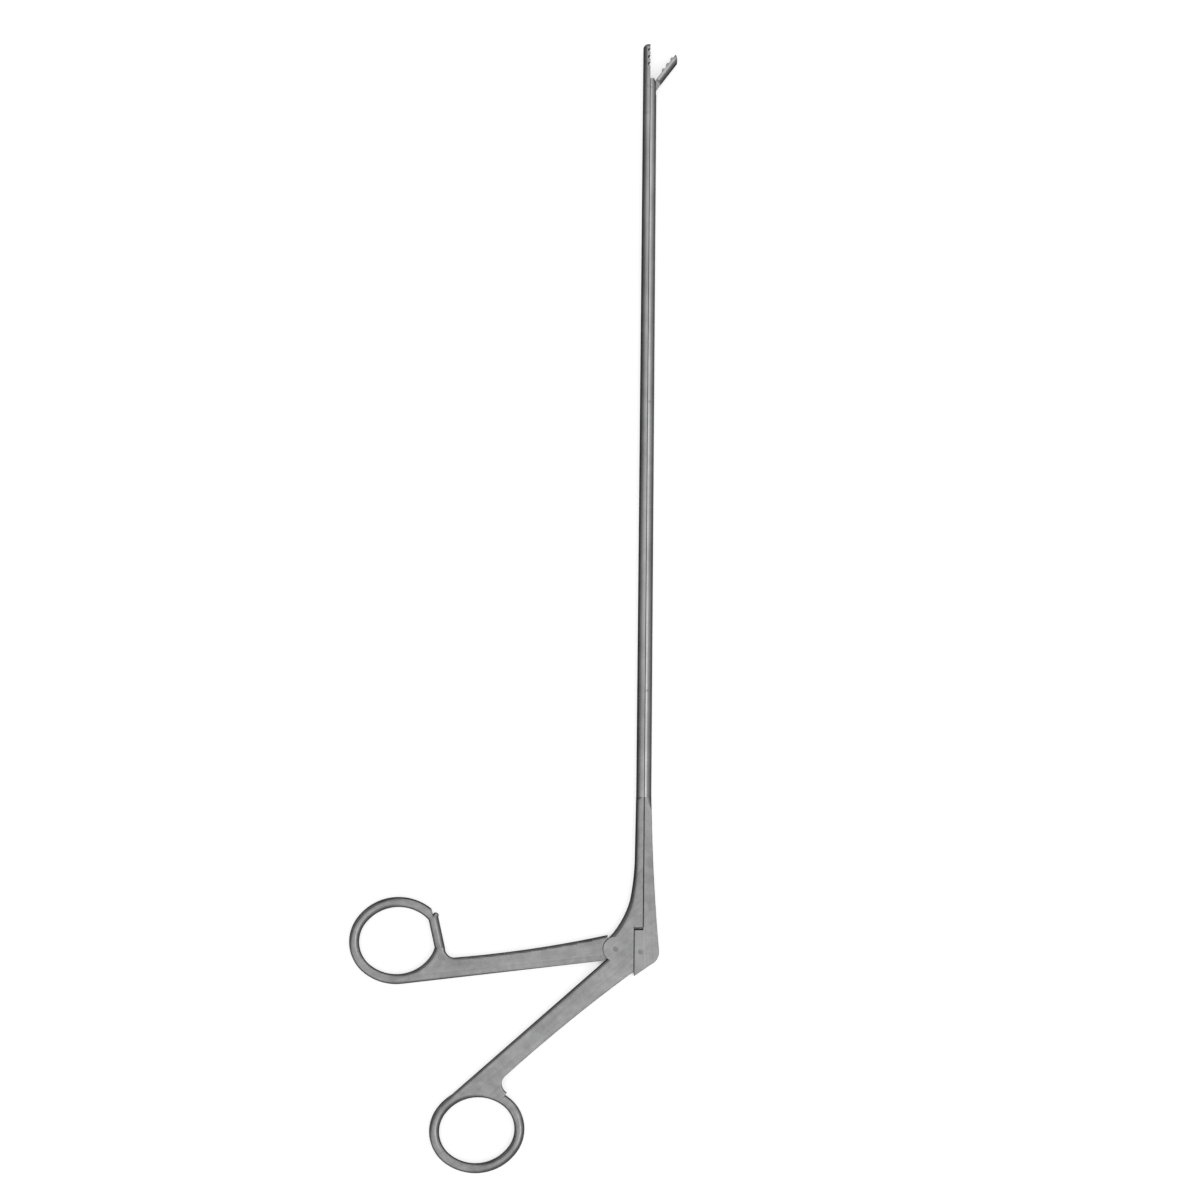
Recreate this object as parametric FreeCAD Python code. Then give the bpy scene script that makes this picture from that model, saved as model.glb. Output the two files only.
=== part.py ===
import FreeCAD, Part
import math
import os
from FreeCAD import Vector

# Rigid forceps for a bronchoscope. Millimetres, +Z up. The instrument lies flat on the underside
# of its lock. The shaft runs along +Y, the handles reach towards -X, and the origin is the point
# where the axis of the main pivot meets the resting face.

# Shaft
shaft_offset = 10.6          # from the main pivot to the shaft's axis, along X
reach = 357.3                # from the main pivot to the tips of the closed jaws
shaft_tip_diameter = 5.25
shaft_root_diameter = 6.05
shaft_root = 60.0            # where the round shaft meets the flat lock, above the pivot
split_offset = 0.2           # the plane between the two half shafts, from the shaft's axis
tenon_length = 7.0
tenon_thickness = 2.6
tenon_width = 1.6

# Lock
lock_thickness = 6.0
boss_radius = 4.9
step_height = 8.7            # underside of the lock's step, above the pivot
foot_side = 3.3              # from the shaft's axis to the left side of the slide's foot
throat_top = (3.35, 35.0)    # points of the throat: how far left of the axis, how high
throat_bend = (3.88, 27.1)
throat_knee = (5.07, 19.2)
throat_low_bend = (9.22, 9.65)
flat_run = 14.0              # length over which the round shaft turns into the flat lock
flat_growth = 3.2            # how much the round form widens over that length
boss_top_angle = 129.0       # where the throat and the rear arm meet the boss, seen from the pivot
boss_bottom_angle = 232.0
throat_round = 2.4           # radii of the rounded edges
arm_round = 1.5
front_round = 1.2
edge_round = 0.3
ring_end_round = 1.5         # what the edge's radius grows to where the arm runs into its ring
seam_groove = 0.28            # half width and depth of the V groove along a seam
main_pin_floor = 0.8         # steel left under the blind hole of the main pivot

# Foot of the slide, points given from the shaft's axis and from the pivot
foot_back = (6.5, -0.5)
foot_corner = (5.85, -3.7)
foot_heel = (3.4, -5.95)
foot_tip_drop = 10.65
slide_back_bulge = (4.2, 29.2)
tongue_room = 0.5            # round the root of the front handle's tongue, in the lock
tongue_room_above = 0.7
drive_room = 0.4             # round the tip of that tongue, in the foot
drive_room_below = 0.8
drive_room_above = 1.0

# Motion
stroke = 1.05                # travel of the slide from open to closed
drive_arm = 9.77             # from the main pivot to the drive pin, along X
drive_drop = 1.06            # how far the drive pin lies below the main pivot with open jaws
jaw_opening = 37.5           # degrees
jaw_length = 16.7            # from the jaw's pivot to its tip
jaw_pivot_offset = 0.7       # from the shaft's axis to the jaw's pivot, along X

# Pins and rivets
main_pin_diameter = 2.0
drive_pin_diameter = 1.8
jaw_pin_diameter = 1.0
link_pin_diameter = 0.8
rivet_diameter = 1.0

# Jaws
jaw_tongue_thickness = 1.7
jaw_heel_radius = 1.25
heel_room_below = 1.25       # how much longer the slot in the fixed half is than the heel
heel_room_above = 1.5
link_room_below = 2.0        # how much lower the slot in the slide reaches than the heel
jaw_link_drop = 0.7          # from the pivot's height down to the tongue's lower corner
jaw_neck_rise = 0.875        # from the heel up to where the tongue meets the jaw's face
jaw_shoulder = 4.3           # from the jaw's pivot to the shoulder of its full section
shoulder_start = 0.66        # where the shoulder starts to slope, as a share of the half's width
shoulder_slope = 0.85
slide_bevel_start = 0.62     # the same for the bevelled end of the slide
slide_bevel_slope = 2.2
jaw_back = 0.25              # how far the moving jaw's back stands out from the shaft when closed
nose_length = 2.8
nose_room = 0.26             # how far outside the shaft the outline of the nose starts
nose_bend = (0.3, 0.33)      # middle of the nose's curve, as shares of its length, across and down
moving_nose_length = 3.4
moving_nose_bend = (0.6, 0.4)       # the same for the moving jaw, across as a share of its width
nose_flat = 0.55
nose_corner = 2.2
tooth_height = 0.55
tooth_width = 1.2
wedge_crest = 0.6            # width of a tooth's crest as a share of its base
tooth_first = 2.4
tooth_pitch = 2.75
tooth_count = 3
notch_depth = 0.9
rim_width = 1.9
trough_depth = 0.35
trough_end = 1.7
trough_length = 9.6

# Front handle
tongue_thickness = 2.0
tongue_root_radius = 4.0
tongue_tip_radius = 2.5
tongue_let_in = 3.4          # half width of the tongue inside the arm
tongue_length = 10.0         # how far the tongue is let into the arm, from the pivot
front_arm_thickness = 3.9
ring_end_thickness = 3.8
front_ring_centre = (-86.2, 2.45)
front_ring_long = 17.15
front_ring_short = 15.2
front_ring_tilt = 9.0
front_arm_top = (-2.0, 5.6)
front_arm_top_middle = (-33.8, -0.46)
front_arm_top_end = (-64.2, -4.15)
front_arm_neck = (-66.35, -3.0)
front_arm_neck_end = (-67.4, -0.2)
front_arm_bottom = (-2.0, -4.35)
front_arm_bottom_end = (-84.2, -14.6)
front_ring_flat_top = (-72.0, 11.1)     # ends of the ring's straight side, on its centre line
front_ring_flat_end = (-69.4, -0.4)
nub_radius = 1.2
nub_angle = 33.8
nub_reach = 16.9

# Rear handle
rear_ring_centre = (-54.25, -72.2)
rear_ring_long = 16.9
rear_ring_short = 14.95
rear_ring_tilt = 10.0
rear_arm_top_end = (-66.8, -60.45)
rear_arm_top_tangent = (-69.2, -63.2)
rear_arm_bottom = (-3.4, -8.75)
rear_arm_bottom_middle = (-17.8, -28.45)
rear_arm_bottom_end = (-43.2, -50.55)
rear_arm_neck = (-44.6, -53.9)
rear_arm_neck_end = (-42.6, -57.3)
taper_start = 18.0
taper_end = 82.0
ring_bar_diameter = 4.0

# Guides between the half shafts
guide_below_jaw = 10.4       # from the jaw's pivot down to the front guide
guide_shares = {"middle": 0.525, "rear": 0.142}    # places of the others along the round shaft
guide_length = 6.0
guide_neck = 1.3
guide_head = 2.4
guide_head_depth = 0.9
guide_neck_depth = 0.6
guide_seat_depth = 1.3
rivet_inset = 0.85

# Clearances
slide_gap = 0.08             # between the two half shafts, and beside the foot
pin_gap = 0.03               # round a turning pin
side_gap = 0.06              # on each side of a tongue in its slot
stop_gap = 0.12              # left at the step and at the jaw's shoulder when closed
boss_gap = 0.12              # between the boss and the end of the front arm
tooth_gap = 0.15
guide_gap = 0.06
arm_gap = 0.25               # between the arms' roots when closed

# Construction
beyond = 1.0                 # how far a cutting shape runs past what it cuts
same_place = 0.01            # two points this near are one point
on_line = 0.02               # a line this near to a point passes over it

# Worked out from the sizes above
middle = lock_thickness / 2
tip_radius = shaft_tip_diameter / 2
root_radius = shaft_root_diameter / 2
split = shaft_offset + split_offset
left_face = split - slide_gap / 2
right_face = split + slide_gap / 2
foot_left = shaft_offset - foot_side
lock_right = foot_left - slide_gap
drive_radius = math.hypot(drive_arm, drive_drop)
drive_start = math.asin(-drive_drop / drive_radius)
drive_end = math.asin((stroke - drive_drop) / drive_radius)
handle_swing = math.degrees(drive_end - drive_start)
drive_sweep = drive_radius * math.cos(drive_end) - drive_arm
jaw_pivot_x = shaft_offset - jaw_pivot_offset
jaw_pivot_y = reach - jaw_length
half_opening = math.radians(jaw_opening / 2)
link_near = stroke / 2 / math.tan(half_opening)
link_far = stroke / 2 / math.sin(half_opening)
link_x = jaw_pivot_x + link_near
shoulder_height = jaw_pivot_y + jaw_shoulder
slide_end = shoulder_height - stop_gap - stroke
far = 4 * reach
guide_heights = {"front": jaw_pivot_y - guide_below_jaw}
for guide, share in guide_shares.items():
    guide_heights[guide] = shaft_root + share * (reach - shaft_root)


def disc(x, y, radius, low, high):
    return Part.makeCylinder(radius, high - low, Vector(x, y, low))


def block(x_low, x_high, y_low, y_high, z_low, z_high):
    size = Vector(x_high, y_high, z_high) - Vector(x_low, y_low, z_low)
    return Part.makeBox(size.x, size.y, size.z, Vector(x_low, y_low, z_low))


# A move of two numbers is a straight line to that point. A move of four numbers is an arc
# through the first point to the second.
def outline(start, moves):
    here = Vector(start[0], start[1], 0)
    edges = []
    for move in moves + [start]:
        there = Vector(move[-2], move[-1], 0)
        if len(move) == 4:
            edges.append(Part.Arc(here, Vector(move[0], move[1], 0), there).toShape())
        else:
            edges.append(Part.LineSegment(here, there).toShape())
        here = there
    return Part.Face(Part.Wire(edges))


def plate(face, low, high):
    lifted = face.copy()
    lifted.translate(Vector(0, 0, low))
    return lifted.extrude(Vector(0, 0, high - low))


def centred_plate(face, thickness):
    return plate(face, middle - thickness / 2, middle + thickness / 2)


def slot_hole(x, y, radius, half_travel, angle, low, high):
    body = block(-half_travel, half_travel, -radius, radius, low, high)
    for end in (-half_travel, half_travel):
        body = body.fuse(disc(end, 0, radius, low, high))
    body.rotate(Vector(0, 0, 0), Vector(0, 0, 1), angle)
    body.translate(Vector(x, y, 0))
    return body


# The long edges of a plate that pass over the given points of its outline, on both faces.
def edges_over(shape, points):
    chosen = []
    for edge in shape.Edges:
        ends = edge.Vertexes
        upright = Vector(ends[0].X - ends[-1].X, ends[0].Y - ends[-1].Y, 0).Length < same_place
        if upright:
            continue
        for x, y in points:
            probe = Part.makeLine(Vector(x, y, -far), Vector(x, y, far))
            if edge.distToShape(probe)[0] < on_line and edge not in chosen:
                chosen.append(edge)
    return chosen


def rounded(shape, points, size):
    return shape.makeFillet(size, edges_over(shape, points))


def nearest_edge(shape, other):
    def distance(edge):
        return edge.distToShape(other)[0] + abs(edge.Length - other.Length)
    return min(shape.Edges, key=distance)


def between(start, end, share):
    return (start[0] + share * (end[0] - start[0]), start[1] + share * (end[1] - start[1]))


def edge_middle(edge):
    return edge.valueAt((edge.FirstParameter + edge.LastParameter) / 2)


# An oval of four tangent arcs: each as centre, radius, start angle and sweep.
def oval_arcs(long_radius, short_radius):
    shift = (long_radius - short_radius) / (2 - math.sqrt(2))
    small = long_radius - shift
    large = short_radius + shift
    return [
        ((shift, 0), small, -45),
        ((0, -shift), large, 45),
        ((-shift, 0), small, 135),
        ((0, shift), large, 225),
    ]


def place_oval(shape, centre, tilt):
    shape.rotate(Vector(0, 0, 0), Vector(0, 0, 1), tilt)
    shape.translate(Vector(centre[0], centre[1], 0))
    return shape


def oval_disc(centre, long_radius, short_radius, tilt):
    edges = []
    for arc_centre, radius, start in oval_arcs(long_radius, short_radius):
        circle = Part.Circle(Vector(arc_centre[0], arc_centre[1], 0), Vector(0, 0, 1), radius)
        edges.append(circle.toShape(math.radians(start), math.radians(start + 90)))
    face = Part.Face(Part.Wire(edges))
    return place_oval(plate(face, -lock_thickness, 2 * lock_thickness), centre, tilt)


def oval_ring(centre, long_radius, short_radius, tilt):
    pieces = []
    bar = ring_bar_diameter / 2
    for arc_centre, radius, start in oval_arcs(long_radius, short_radius):
        piece = Part.makeTorus(radius, bar, Vector(0, 0, 0), Vector(0, 0, 1), -180, 180, 90)
        piece.rotate(Vector(0, 0, 0), Vector(0, 0, 1), start)
        piece.translate(Vector(arc_centre[0], arc_centre[1], middle))
        pieces.append(piece)
    return place_oval(pieces[0].fuse(pieces[1:]), centre, tilt)


# A slab seen from its side along the direction of an arm: full thickness near the pivot, and
# thinner towards the ring.
def tapered_slab(direction, start, end, thick, thin):
    low = thick / 2
    ring = thin / 2
    side = [(-far, low), (start, low), (end, ring), (far, ring)]
    points = [Vector(along, 0, height) for along, height in side]
    points += [Vector(along, 0, -height) for along, height in reversed(side)]
    face = Part.Face(Part.makePolygon(points + points[:1]))
    slab = face.extrude(Vector(0, 2 * far, 0))
    slab.translate(Vector(0, -far, middle))
    slab.rotate(Vector(0, 0, 0), Vector(0, 0, 1), direction)
    return slab


def round_shaft():
    return Part.makeCone(root_radius, tip_radius, reach - shaft_root,
                         Vector(shaft_offset, shaft_root, middle), Vector(0, 1, 0))


# What is milled away where the round shaft runs into the flat lock.
def flat_runout():
    low = shaft_root - flat_run
    width = shaft_root_diameter
    square = block(shaft_offset - width, shaft_offset + width, low, shaft_root,
                   -lock_thickness, 2 * lock_thickness)
    cone = Part.makeCone(root_radius + flat_growth, root_radius, flat_run,
                         Vector(shaft_offset, low, middle), Vector(0, 1, 0))
    return square.cut(cone)


# A bar that cuts a V groove along a seam, from one height above the mid-plane to another.
def groove_bar(x, y_low, y_high, z_low, z_high):
    corners = [(-seam_groove, 0), (0, -seam_groove), (seam_groove, 0), (0, seam_groove), (-seam_groove, 0)]
    points = [Vector(x + across, y_low, middle + z_low + up) for across, up in corners]
    return Part.Face(Part.makePolygon(points)).extrude(Vector(0, y_high - y_low, z_high - z_low))


def split_grooves():
    bars = []
    for side in (-1, 1):
        bars.append(groove_bar(split, step_height, shaft_root, side * middle, side * middle))
        bars.append(groove_bar(split, shaft_root, reach, side * root_radius, side * tip_radius))
    return bars


def foot_grooves():
    seam = (foot_left + lock_right) / 2
    return [groove_bar(seam, -foot_tip_drop, step_height, side * middle, side * middle) for side in (-1, 1)]


def jaw_form():
    form = round_shaft()
    form.translate(Vector(jaw_back, 0, 0))
    return form


def left_of(x):
    return block(-far, x, -far, far, -far, far)


def right_of(x):
    return block(x, far, -far, far, -far, far)


# Everything on the right of a line through a point, looking along its angle.
def half_plane(point, angle):
    side = block(-far, far, -far, 0, -far, far)
    side.rotate(Vector(0, 0, 0), Vector(0, 0, 1), angle)
    side.translate(Vector(point[0], point[1], 0))
    return side


# The tips of the closed jaws: a blunt nose from above, a rounded spoon end from the side.
def nose():
    left = shaft_offset - tip_radius - nose_room
    right = shaft_offset + tip_radius + nose_room + jaw_back
    bend = (left + nose_bend[0] * nose_length, reach - nose_bend[1] * nose_length)
    moving_bend = (split + moving_nose_bend[0] * (right - split),
                   reach - moving_nose_bend[1] * moving_nose_length)
    top = outline((left, shaft_root), [
        (left, reach - nose_length),
        bend + (split - nose_flat, reach),
        (split, reach),
        moving_bend + (right, reach - moving_nose_length),
        (right, shaft_root)])
    spoon = block(-far, far, shaft_root, reach, middle - tip_radius, middle + tip_radius)
    corners = [edge for edge in spoon.Edges
               if edge_middle(edge).distanceToLine(Vector(0, reach, 0), Vector(0, 0, 1)) < same_place]
    spoon = spoon.makeFillet(nose_corner, corners)
    return plate(top, -far, far).common(spoon)


def tooth_rows():
    return [reach - tooth_first - row * tooth_pitch for row in range(tooth_count)]


# A tooth, or the notch that takes it, on both rims of a jaw.
def rim_wedges(y, height, width, base, play):
    crest = wedge_crest * width / 2
    face = outline((base, y - width / 2), [(base - height, y - crest), (base - height, y + crest),
                                           (base, y + width / 2)])
    wedge = plate(face, -far, far)
    inner = tip_radius - rim_width - play
    return wedge.cut(block(-far, far, -far, far, middle - inner, middle + inner))


def trough(face_x, side):
    high = reach - trough_end
    inner = tip_radius - rim_width
    x_far = face_x + side * trough_depth
    return block(min(face_x, x_far), max(face_x, x_far), high - trough_length, high,
                 middle - inner, middle + inner)


def tongue_slot(x_low, x_high, y_low, y_high):
    half = jaw_tongue_thickness / 2 + side_gap
    return block(x_low, x_high, y_low, y_high, middle - half, middle + half)


def cross_hole(x, y, diameter):
    return disc(x, y, diameter / 2, -lock_thickness, 2 * lock_thickness)


# A pin whose ends are ground flush with the round shaft.
def flush_pin(x, y, diameter):
    return disc(x, y, diameter / 2, -lock_thickness, 2 * lock_thickness).common(round_shaft())


def tenon(x_low, x_high):
    centre = (x_low + x_high) / 2
    return block(centre - tenon_width / 2, centre + tenon_width / 2, shaft_root - tenon_length,
                 shaft_root, middle - tenon_thickness / 2, middle + tenon_thickness / 2)


# Guides: a T-shaped key is riveted in one half shaft and its head runs in the other one.
# Side is 1 for a key that sits in the slide, and -1 for one that sits in the fixed half.
def guide_profile(y_low, y_high, side, gap, seat):
    neck_end = split - side * (guide_neck_depth - gap)
    head_end = split - side * (guide_neck_depth + guide_head_depth + gap)
    seat_end = split + side * seat
    neck_half = guide_neck / 2 + gap
    head_half = guide_head / 2 + gap
    neck = block(min(neck_end, seat_end), max(neck_end, seat_end), y_low, y_high,
                 middle - neck_half, middle + neck_half)
    head = block(min(neck_end, head_end), max(neck_end, head_end), y_low, y_high,
                 middle - head_half, middle + head_half)
    return neck.fuse(head)


def guide_side(name):
    return -1 if name == "front" else 1


def guide_key(name):
    y = guide_heights[name]
    side = guide_side(name)
    key = guide_profile(y - guide_length / 2, y + guide_length / 2, side, 0, guide_seat_depth)
    return key.cut(cross_hole(guide_rivet_x(name), y, rivet_diameter))


def guide_rivet_x(name):
    return split + guide_side(name) * rivet_inset


# The slide travels up by the stroke, so a key's head needs that length above it where the key
# rides in the slide, and below it where the slide rides over the key.
def guide_track(name):
    y = guide_heights[name]
    side = guide_side(name)
    above = stroke if side > 0 else 0
    low = y - guide_length / 2 - stroke + above - guide_gap
    high = y + guide_length / 2 + above + guide_gap
    track = guide_profile(low, high, side, guide_gap, 0)
    entry_far = split - side * (guide_neck_depth + guide_head_depth + guide_gap)
    half = guide_head / 2 + guide_gap
    entry = block(min(split, entry_far), max(split, entry_far), low - guide_length - guide_gap, low,
                  middle - half, middle + half)
    return track.fuse(entry)


def guide_seat(name):
    y = guide_heights[name]
    side = guide_side(name)
    end = split + side * guide_seat_depth
    return block(min(split, end), max(split, end), y - guide_length / 2, y + guide_length / 2,
                 middle - guide_neck / 2, middle + guide_neck / 2)


def fit_guides(shape, side):
    for name, y in guide_heights.items():
        if guide_side(name) == side:
            shape = shape.cut(guide_seat(name)).cut(cross_hole(guide_rivet_x(name), y, rivet_diameter))
        else:
            shape = shape.cut(guide_track(name))
    return shape


def fixed_half_shaft():
    body = round_shaft().common(left_of(left_face)).common(nose()).cut(split_grooves())
    slot_left = jaw_pivot_x - jaw_heel_radius - 2 * side_gap
    slot_low = jaw_pivot_y - jaw_heel_radius - heel_room_below
    slot_high = jaw_pivot_y + jaw_heel_radius + heel_room_above
    body = body.cut(tongue_slot(slot_left, split, slot_low, slot_high))
    body = body.cut(cross_hole(jaw_pivot_x, jaw_pivot_y, jaw_pin_diameter))
    notch_width = tooth_width + 2 * tooth_gap
    for y in tooth_rows():
        body = body.cut(rim_wedges(y, notch_depth, notch_width, left_face, tooth_gap))
    body = body.cut(trough(left_face, -1))
    body = fit_guides(body, -1)
    return body.fuse(tenon(shaft_offset - root_radius, left_face))


def sliding_half_shaft():
    body = round_shaft().common(right_of(right_face)).cut(split_grooves())
    body = body.common(block(-far, far, -far, slide_end, -far, far))
    body = body.cut(slide_end_bevel())
    body = body.cut(tongue_slot(split, far, jaw_pivot_y - jaw_heel_radius - link_room_below, far))
    body = body.cut(cross_hole(link_x, jaw_pivot_y - stroke / 2, link_pin_diameter))
    body = fit_guides(body, 1)
    return body.fuse(tenon(right_face, shaft_offset + root_radius))


def slide_end_bevel():
    outer = shaft_offset + root_radius
    inner = split + slide_bevel_start * (tip_radius - split_offset)
    drop = slide_bevel_slope * (outer - inner)
    face = outline((inner, slide_end), [(outer, slide_end - drop), (outer, slide_end + drop),
                                        (inner, slide_end + drop)])
    return plate(face, -far, far)


def closed_jaw():
    face_x = right_face
    back = shaft_offset + tip_radius + jaw_back
    inner = split + shoulder_start * (tip_radius - split_offset)
    outer = back + beyond
    slope = shoulder_slope * (outer - inner) / (back - inner)
    shoulder = outline((face_x, shoulder_height), [
        (inner, shoulder_height),
        (outer, shoulder_height - slope),
        (outer, reach + beyond),
        (face_x, reach + beyond)])
    body = jaw_form().common(plate(shoulder, -far, far)).common(nose())
    for y in tooth_rows():
        tooth = rim_wedges(y, tooth_height, tooth_width, face_x, 0)
        body = body.fuse(tooth.common(round_shaft()))
    body = body.cut(trough(face_x, 1))
    return body.fuse(jaw_tongue(face_x, back)).removeSplitter()


def jaw_tongue(face_x, back):
    link_arm = (link_near + link_far) / 2
    neck = outline((jaw_pivot_x, jaw_pivot_y - jaw_heel_radius), [
        (link_x, jaw_pivot_y - jaw_link_drop),
        (back - side_gap, jaw_pivot_y),
        (back - side_gap, shoulder_height + beyond),
        (face_x, shoulder_height + beyond),
        (face_x, jaw_pivot_y + jaw_heel_radius + jaw_neck_rise),
        (jaw_pivot_x, jaw_pivot_y + jaw_heel_radius)])
    low = middle - jaw_tongue_thickness / 2
    high = middle + jaw_tongue_thickness / 2
    tongue = plate(neck, low, high).fuse(disc(jaw_pivot_x, jaw_pivot_y, jaw_heel_radius, low, high))
    tongue = tongue.common(jaw_form())
    tongue = tongue.cut(disc(jaw_pivot_x, jaw_pivot_y, jaw_pin_diameter / 2 + pin_gap, low, high))
    slot_x = jaw_pivot_x + link_arm * math.cos(half_opening)
    slot_y = jaw_pivot_y + link_arm * math.sin(half_opening)
    half_travel = (link_far - link_near) / 2
    slot = slot_hole(slot_x, slot_y, link_pin_diameter / 2 + pin_gap, half_travel, jaw_opening / 2, low, high)
    return tongue.cut(slot)


def moving_jaw():
    jaw = closed_jaw()
    jaw.rotate(Vector(jaw_pivot_x, jaw_pivot_y, 0), Vector(0, 0, 1), -jaw_opening)
    return jaw


def on_boss(degrees):
    angle = math.radians(degrees)
    return (boss_radius * math.cos(angle), boss_radius * math.sin(angle))


def from_axis(point):
    return (shaft_offset - point[0], point[1])


def lock_plate():
    face = outline((shaft_offset - root_radius, shaft_root), [
        from_axis(throat_top),
        from_axis(throat_bend) + from_axis(throat_knee),
        from_axis(throat_low_bend) + on_boss(boss_top_angle),
        (0, 0),
        (lock_right, rear_arm_bottom[1]),
        (lock_right, step_height),
        (left_face, step_height),
        (left_face, shaft_root)])
    body = plate(face, 0, lock_thickness).cut(flat_runout())
    return rounded(body, [from_axis(throat_bend), from_axis(throat_low_bend)], throat_round)


# The rear arm's upper edge runs on under the boss, to the point nearest to the pivot.
def rear_arm_root():
    start = Vector(*on_boss(boss_bottom_angle), 0)
    run = (start - Vector(*rear_arm_top_end, 0)).normalize()
    nearest = start - run * start.dot(run)
    return (nearest.x, nearest.y)


def rear_arm():
    face = outline(rear_arm_root(), [
        rear_arm_top_end,
        rear_arm_top_tangent,
        rear_ring_centre,
        rear_arm_neck_end,
        rear_arm_neck + rear_arm_bottom_end,
        rear_arm_bottom_middle + (lock_right, rear_arm_bottom[1]),
        (lock_right, 0)])
    body = plate(face, 0, lock_thickness)
    body = body.cut(oval_disc(rear_ring_centre, rear_ring_long, rear_ring_short, rear_ring_tilt))
    angle = math.degrees(math.atan2(rear_arm_top_end[1], rear_arm_top_end[0]))
    body = body.common(tapered_slab(angle, taper_start, taper_end, lock_thickness, ring_end_thickness))
    along_top = [between(on_boss(boss_bottom_angle), rear_arm_top_end, share) for share in (0.1, 0.5)]
    body = rounded(body, along_top, arm_round)
    return rounded(body, [rear_arm_bottom_middle, rear_arm_neck], edge_round)


def lock_with_rear_handle():
    body = lock_plate().fuse([rear_arm(), disc(0, 0, boss_radius, 0, lock_thickness)])
    body = body.cut(split_grooves() + foot_grooves())
    body = body.fuse(oval_ring(rear_ring_centre, rear_ring_long, rear_ring_short, rear_ring_tilt))
    half = tongue_thickness / 2 + side_gap
    body = body.cut(block(-boss_radius - beyond, foot_left + beyond,
                          -tongue_root_radius - tongue_room, tongue_root_radius + tongue_room_above,
                          middle - half, middle + half))
    body = body.cut(main_pin())
    body = body.cut(tenon(shaft_offset - root_radius, left_face))
    return body.removeSplitter()


def foot_edge_points():
    tip = (foot_left, -foot_tip_drop)
    heel = (shaft_offset + foot_heel[0], foot_heel[1])
    corner = (shaft_offset + foot_corner[0], foot_corner[1])
    bulge = (shaft_offset + slide_back_bulge[0], slide_back_bulge[1])
    return [between(tip, heel, 0.5), corner, bulge]


def slide_foot():
    step = step_height - stroke - stop_gap
    face = outline((right_face, shaft_root), [
        (right_face, step), (foot_left, step), (foot_left, -foot_tip_drop),
        (shaft_offset + foot_heel[0], foot_heel[1]),
        (shaft_offset + foot_corner[0], foot_corner[1], shaft_offset + foot_back[0], foot_back[1]),
        (shaft_offset + slide_back_bulge[0], slide_back_bulge[1], shaft_offset + root_radius, shaft_root)])
    body = rounded(plate(face, 0, lock_thickness), foot_edge_points(), edge_round).cut(flat_runout())
    body = body.cut(split_grooves() + foot_grooves())
    half = tongue_thickness / 2 + side_gap
    body = body.cut(block(foot_left - beyond, drive_arm + tongue_tip_radius + drive_room,
                          -drive_drop - tongue_tip_radius - drive_room_below,
                          -drive_drop + tongue_tip_radius + drive_room_above,
                          middle - half, middle + half))
    body = body.cut(cross_hole(drive_x(), -drive_drop, drive_pin_diameter))
    return body.cut(tenon(right_face, shaft_offset + root_radius))


# The drive pin stays on the slide's line while the tongue's hole swings round the pivot, so it
# sits midway along the hole's small sideways travel.
def drive_x():
    return drive_arm + drive_sweep / 2


def front_handle():
    face = outline(front_arm_bottom, [
        front_arm_bottom_end, front_ring_centre, front_arm_neck_end,
        front_arm_neck + front_arm_top_end, front_arm_top_middle + front_arm_top])
    top_points = [front_arm_top_middle, front_arm_neck]
    body = rounded(centred_plate(face, front_arm_thickness), top_points, front_round)
    for edge in edges_over(body, [between(front_arm_bottom, front_arm_bottom_end, 0.5)]):
        near_pivot = edge.Vertexes[0].X > edge.Vertexes[-1].X
        radii = (edge_round, ring_end_round) if near_pivot else (ring_end_round, edge_round)
        body = body.makeFillet(radii[0], radii[1], [nearest_edge(body, edge)])
    body = body.cut(oval_disc(front_ring_centre, front_ring_long, front_ring_short, front_ring_tilt))
    body = body.cut(disc(0, 0, boss_radius + boss_gap, -far, far))
    body = body.cut(throat_clearance()).cut(rear_arm_clearance())
    body = body.fuse([flat_sided_ring(), ring_nub(), drive_tongue()])
    return body.removeSplitter()


# The side of the ring that faces the lock is drawn straight.
def flat_sided_ring():
    ring = oval_ring(front_ring_centre, front_ring_long, front_ring_short, front_ring_tilt)
    top = Vector(front_ring_flat_top[0], front_ring_flat_top[1], middle)
    end = Vector(front_ring_flat_end[0], front_ring_flat_end[1], middle)
    run = top - end
    angle = math.degrees(math.atan2(run.y, run.x))
    bar = ring_bar_diameter / 2
    straight = Part.makeCylinder(bar, run.Length, end, run)
    ends = [Part.makeSphere(bar, point) for point in (top, end)]
    return ring.cut(half_plane(front_ring_flat_end, angle)).fuse([straight] + ends)


# What the root of the front arm stays clear of: the throat when open, the rear arm when closed.
def throat_clearance():
    return block(on_boss(boss_top_angle)[0] - boss_gap, far, 0, far, -far, far)


def rear_arm_clearance():
    start = on_boss(boss_bottom_angle)
    angle = math.degrees(math.atan2(start[1] - rear_arm_top_end[1], start[0] - rear_arm_top_end[0]))
    normal = Vector(-math.sin(math.radians(angle)), math.cos(math.radians(angle)), 0)
    x = start[0] + arm_gap * normal.x
    y = start[1] + arm_gap * normal.y
    side = half_plane((x, y), angle)
    side.rotate(Vector(0, 0, 0), Vector(0, 0, 1), -handle_swing)
    return side.common(block(-far, far, -far, 0, -far, far))


def ring_nub():
    angle = math.radians(nub_angle)
    x = front_ring_centre[0] + (nub_reach + nub_radius) * math.cos(angle)
    y = front_ring_centre[1] + (nub_reach + nub_radius) * math.sin(angle)
    return Part.makeSphere(nub_radius, Vector(x, y, middle))


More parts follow.
